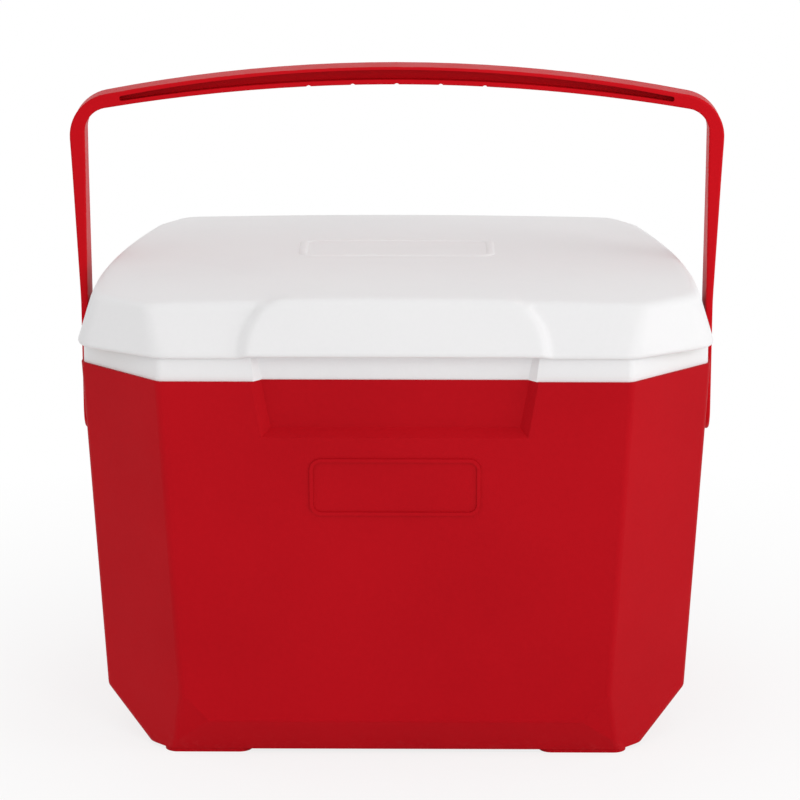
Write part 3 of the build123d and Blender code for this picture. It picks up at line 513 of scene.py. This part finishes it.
def pad_lift(x, along):
    """How far the finger pad stands out of the lid, at a distance along the front from the foot up and back."""
    up_front = min(max(along, PAD_ARC_START), LID_FRONT_LENGTH)
    behind = max(along - LID_FRONT_LENGTH, 0.0)
    climb = (up_front - PAD_ARC_START) / PAD_ARC_HEIGHT
    drawn_in = PAD_ARC_WIDTH * (1 - math.sqrt(1 - climb * climb))
    flank = PAD_FLANK + PAD_SPREAD * behind
    share = min(max((PAD_HALF_WIDTH - drawn_in - abs(x)) / flank, 0.0), 1.0)
    fade = max(1.0 - behind / PAD_RUN, 0.0)
    return PAD_RISE * math.sin(share * math.pi / 2) * fade


class LidSurface:
    """One surface of the lid, drawn in from the outside by an inset."""

    def __init__(self, inset, with_pad):
        self.inset = inset
        self.with_pad = with_pad
        self.foot, self.top = lid_outlines()
        self.count = len(self.foot)
        self.normals = []
        for index in range(self.count):
            run = self.foot[(index + 1) % self.count] - self.foot[index - 1]
            self.normals.append(Vector((run.y, -run.x)).normalized())
        self.rims = [self.find_rim(index) for index in range(self.count)]

    def bare(self, index, z, inset):
        """Point of the wall at a height, without the pad."""
        share = (z - LID_FOOT_Z) / (LID_TOP_Z - LID_FOOT_Z)
        spot = self.foot[index].lerp(self.top[index], share) - self.normals[index] * inset
        return Vector((spot.x, spot.y, z))

    def find_rim(self, index):
        """Height at which the wall meets the top."""
        low, high = LID_FOOT_Z, LID_TOP_Z
        for step in range(RIM_HALVINGS):
            middle = (low + high) / 2
            spot = self.bare(index, middle, self.inset)
            if middle < lid_top_height(spot.x, spot.y) - self.inset:
                low = middle
            else:
                high = middle
        return low

    def padded(self, spot, along):
        """The same point, moved out where it belongs to the pad."""
        if not self.with_pad or spot.y > -PAD_BACK:
            return spot
        return spot + LID_FRONT_NORMAL * pad_lift(spot.x, along)

    def wall(self, index, z, inset=None):
        spot = self.bare(index, z, self.inset if inset is None else inset)
        return self.padded(spot, (z - LID_FOOT_Z) / LID_FRONT_NORMAL_LEAN)

    def roof(self, index, share):
        """Point of the top, at a share of the way from the rim to the middle."""
        rim = self.bare(index, self.rims[index], self.inset)
        spot = Vector((rim.x * (1 - share), rim.y * (1 - share), 0.0))
        spot.z = lid_top_height(spot.x, spot.y) - self.inset
        return self.padded(spot, LID_FRONT_LENGTH + share * abs(rim.y))

    def rings(self, lowest):
        """Rings from the middle of the top out over the rounded rim and down to the lowest height."""
        middle = [[self.roof(index, share) for index in range(self.count)] for share in ROOF_SHARES]
        rounded = []
        for step in range(1, RIM_STEPS):
            share = step / RIM_STEPS
            ring = []
            for index in range(self.count):
                start = middle[-1][index]
                corner = self.wall(index, self.rims[index])
                end = self.wall(index, self.rims[index] - LID_RIM)
                ring.append(start.lerp(corner, share).lerp(corner.lerp(end, share), share))
            rounded.append(ring)
        walls = []
        for step in range(WALL_STEPS + 1):
            share = step / WALL_STEPS
            ring = []
            for index in range(self.count):
                high = self.rims[index] - LID_RIM
                ring.append(self.wall(index, high + (lowest - high) * share))
            walls.append(ring)
        return middle + rounded + walls


def ring_mesh(name, rings, first_pole, last_pole):
    """Closed mesh over rings of points, with a point in the middle of the first and the last ring."""
    count = len(rings[0])
    points = [first_pole] + [spot for ring in rings for spot in ring] + [last_pole]
    faces = []
    last_start = 1 + (len(rings) - 1) * count
    for index in range(count):
        ahead = (index + 1) % count
        faces.append((0, 1 + index, 1 + ahead))
        faces.append((last_start + ahead, last_start + index, len(points) - 1))
        for ring in range(len(rings) - 1):
            here, below = 1 + ring * count, 1 + (ring + 1) * count
            faces.append((here + index, below + index, below + ahead, here + ahead))
    mesh = bpy.data.meshes.new(name)
    mesh.from_pydata([tuple(spot) for spot in points], [], faces)
    mesh.validate()
    mesh.shade_smooth()
    mesh.set_sharp_from_angle(angle=math.radians(SHARP_ANGLE))
    piece = bpy.data.objects.new(name, mesh)
    bpy.context.collection.objects.link(piece)
    return piece


def lid_skin():
    """White skin of the lid: outside with the finger pad, rounded lip, and the inside."""
    outside = LidSurface(0.0, True)
    inside = LidSurface(LID_WALL, False)
    rings = outside.rings(LID_LOW_Z + LID_LIP)
    for step in range(1, LIP_STEPS + 1):
        turn = math.pi / 2 + (LID_LIP_END - math.pi / 2) * step / LIP_STEPS
        z = LID_LOW_Z + LID_LIP * (1 - math.cos(turn))
        inset = LID_LIP * (1 - math.sin(turn))
        rings.append([outside.wall(index, z, inset) for index in range(outside.count)])
    rings.append([outside.wall(index, LID_SEAT_Z, inset) for index in range(inside.count)])
    rings.append([inside.wall(index, LID_SEAT_Z, LID_SKIRT) for index in range(inside.count)])
    rings.append([inside.wall(index, LID_INSIDE_Z, LID_SKIRT) for index in range(inside.count)])
    rings += reversed(inside.rings(LID_INSIDE_Z))
    top = lid_top_height(0.0, 0.0)
    return ring_mesh("lid_skin", rings, Vector((0, 0, top)), Vector((0, 0, top - LID_WALL)))


def lid_core():
    """Foam that fills the lid."""
    core = LidSurface(LID_WALL + LID_CORE_GAP, False)
    rings = core.rings(LID_INSIDE_Z)
    top = lid_top_height(0.0, 0.0) - core.inset
    return ring_mesh("lid_core", rings, Vector((0, 0, top)), Vector((0, 0, LID_INSIDE_Z)))


def bead_tree():
    """Geometry nodes that run a half-sunk bead round the panel on the arched top of the lid."""
    group = bpy.data.node_groups.new("bead_round_panel", "GeometryNodeTree")
    tree = Tree(group)
    for name in BEAD_SIZES:
        group.interface.new_socket(name, in_out="INPUT", socket_type="NodeSocketFloat")
    group.interface.new_socket("Bead", in_out="OUTPUT", socket_type="NodeSocketGeometry")
    entry = group.nodes.new("NodeGroupInput")
    size = {name: Value(group, entry.outputs[name]) for name in BEAD_SIZES}
    panel = tree.node(
        "GeometryNodeCurvePrimitiveQuadrilateral",
        inputs={"Width": size["Panel Width"], "Height": size["Panel Depth"]},
    )
    rounded = tree.node(
        "GeometryNodeFilletCurve",
        {"mode": "POLY"},
        {"Curve": panel, "Count": BEAD_CORNER_STEPS, "Radius": size["Panel Rounding"]},
    )
    path = tree.node("GeometryNodeResampleCurve", {"mode": "COUNT"}, {"Curve": rounded, "Count": BEAD_PATH_STEPS})
    place = tree.node("GeometryNodeInputPosition")
    x = tree.node("ShaderNodeSeparateXYZ", inputs={"Vector": place}, output="X")
    height = size["Crown"] - x * x * size["Arch Fall"] - size["Bead Sink"]
    lift = tree.node("ShaderNodeCombineXYZ", inputs={"Y": size["Panel Place"], "Z": height})
    path = tree.node("GeometryNodeSetPosition", inputs={"Geometry": path, "Offset": lift})
    ring = tree.node("GeometryNodeCurvePrimitiveCircle", inputs={"Resolution": BEAD_STEPS, "Radius": 1.0})
    spread = tree.node(
        "ShaderNodeCombineXYZ",
        inputs={"X": size["Bead Half Width"], "Y": size["Bead Height"], "Z": 1.0},
    )
    profile = tree.node("GeometryNodeTransform", inputs={"Geometry": ring, "Scale": spread})
    bead = tree.node("GeometryNodeCurveToMesh", inputs={"Curve": path, "Profile Curve": profile})
    smooth = tree.node("GeometryNodeSetShadeSmooth", inputs={"Geometry": bead})
    real = tree.node("GeometryNodeRealizeInstances", inputs={"Geometry": smooth})
    made = tree.node("GeometryNodeSetMaterial", inputs={"Geometry": real, "Material": lid_white})
    result = group.nodes.new("NodeGroupOutput")
    tree.fill(result.inputs["Bead"], made)
    return group


def lid_bead():
    """Raised bead round the bare panel on the lid."""
    group = bead_tree()
    piece = bpy.data.objects.new("lid_bead", bpy.data.meshes.new("lid_bead_start"))
    bpy.context.collection.objects.link(piece)
    modifier = piece.modifiers.new("bead", "NODES")
    modifier.node_group = group
    for socket in group.interface.items_tree:
        if socket.in_out == "INPUT":
            modifier[socket.identifier] = BEAD_SIZES[socket.name]
    depsgraph = bpy.context.evaluated_depsgraph_get()
    mesh = bpy.data.meshes.new_from_object(piece.evaluated_get(depsgraph), depsgraph=depsgraph)
    piece.modifiers.remove(modifier)
    piece.data = mesh
    return piece


for piece, finish, slot, node in (
    (lid_skin(), lid_white, "white_plastic", "lid_shell"),
    (lid_bead(), lid_white, "white_plastic", "lid_shell"),
    (lid_core(), foam, "foam", "lid_foam"),
):
    piece.data.materials.clear()
    piece.data.materials.append(finish)
    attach(piece, "lid")
    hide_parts(node)


def floor_paper():
    """Pale paper that shows white far from the object and keeps the shadow near it."""
    finish = Finish("paper")
    finish.set(Base_Color=PAPER_WHITE, Roughness=PAPER_ROUGHNESS, Specular_IOR_Level=PAPER_SPECULAR)
    glow = finish.node("ShaderNodeEmission", inputs={"Color": BACKDROP_WHITE, "Strength": 1.0})
    away = finish.node("ShaderNodeVectorMath", {"operation": "LENGTH"}, {0: finish.place}, "Value")
    share = finish.ramp(away, SHADOW_NEAR, SHADOW_FAR, 1.0 - SHADOW_SHARE, 1.0)
    lit = Value(finish.tree, finish.shader.outputs[0])
    both = finish.node("ShaderNodeMixShader", inputs={0: finish.seen_rays() * share, 1: lit, 2: glow})
    result = next(n for n in finish.tree.nodes if n.type == "OUTPUT_MATERIAL")
    finish.fill(result.inputs["Surface"], both)
    return finish.material


floor_mesh = bpy.data.meshes.new("floor")
floor_mesh.from_pydata(
    [(x * FLOOR_REACH, y * FLOOR_REACH, 0.0) for x, y in ((-1, -1), (1, -1), (1, 1), (-1, 1))],
    [],
    [(0, 1, 2, 3)],
)
floor_mesh.materials.append(floor_paper())
floor = bpy.data.objects.new("floor", floor_mesh)
bpy.context.collection.objects.link(floor)

world = bpy.data.worlds.new("studio")
bpy.context.scene.world = world
world.use_nodes = True
sky = Tree(world.node_tree)
backdrop = world.node_tree.nodes["Background"]
sky.fill(backdrop.inputs["Color"], BACKDROP_WHITE)
sky.fill(backdrop.inputs["Strength"], sky.seen_rays() * (1.0 - SKY_LIGHT) + SKY_LIGHT)

for name, (place, size, power) in SOFT_BOXES.items():
    lamp = bpy.data.lights.new(name, "AREA")
    lamp.shape = "SQUARE"
    lamp.size = size
    lamp.energy = power
    soft_box = bpy.data.objects.new(name, lamp)
    soft_box.location = place
    soft_box.rotation_euler = (Vector(LIGHT_AIM) - Vector(place)).to_track_quat("-Z", "Y").to_euler()
    bpy.context.collection.objects.link(soft_box)

lens = bpy.data.cameras.new("camera")
lens.lens = CAMERA_LENS
lens.sensor_width = CAMERA_SENSOR
camera = bpy.data.objects.new("camera", lens)
camera.location = CAMERA_PLACE
camera.rotation_euler = (math.radians(90 - CAMERA_PITCH), 0, math.radians(CAMERA_YAW))
bpy.context.collection.objects.link(camera)
bpy.context.scene.camera = camera
bpy.context.scene.view_settings.view_transform = "Standard"
